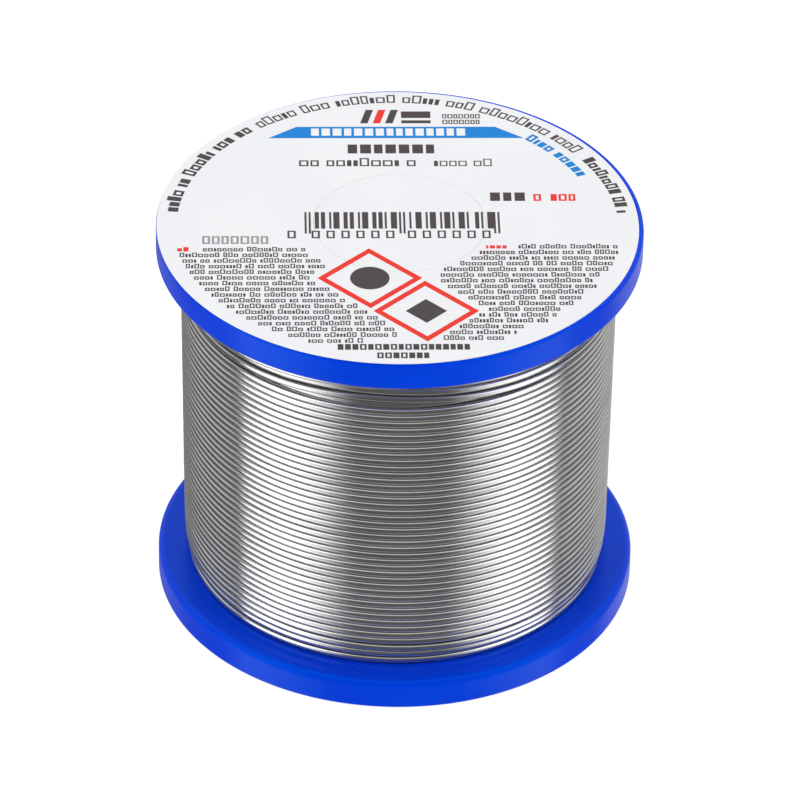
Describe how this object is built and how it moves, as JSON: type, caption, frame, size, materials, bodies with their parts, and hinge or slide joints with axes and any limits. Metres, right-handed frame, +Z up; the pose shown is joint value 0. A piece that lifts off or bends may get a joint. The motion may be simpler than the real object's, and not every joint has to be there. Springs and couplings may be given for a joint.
{
  "type": "solder wire spool",
  "caption": "Full spool of solder wire: blue plastic flanges and core, wire wound in layers, and a round paper label on the upper flange.",
  "frame": {"origin": "centre of the circle that the spool stands on, on the axis of the bore", "axes": "+Z up along the bore, from the plain flange to the labelled one; -Y is the side that the label's lettering reads from"},
  "size_m": [0.065, 0.065, 0.0567],
  "materials": {
    "spool_plastic": "satin",
    "solder": "satin",
    "label_paper": "satin"
  },
  "bodies": {
    "root": {"lower_flange": "spool_plastic", "upper_flange": "spool_plastic", "core_tube": "spool_plastic", "winding_layer_01": "solder", "winding_layer_02": "solder", "winding_layer_03": "solder", "winding_layer_04": "solder", "winding_layer_05": "solder", "winding_layer_06": "solder", "winding_layer_07": "solder", "winding_layer_08": "solder", "winding_layer_09": "solder", "winding_layer_10": "solder", "winding_layer_11": "solder", "winding_layer_12": "solder", "winding_layer_13": "solder", "wire_start_tail": "solder", "wire_free_end": "solder", "top_label": "label_paper", "label_punch_out": "label_paper"}
  },
  "joints": []
}
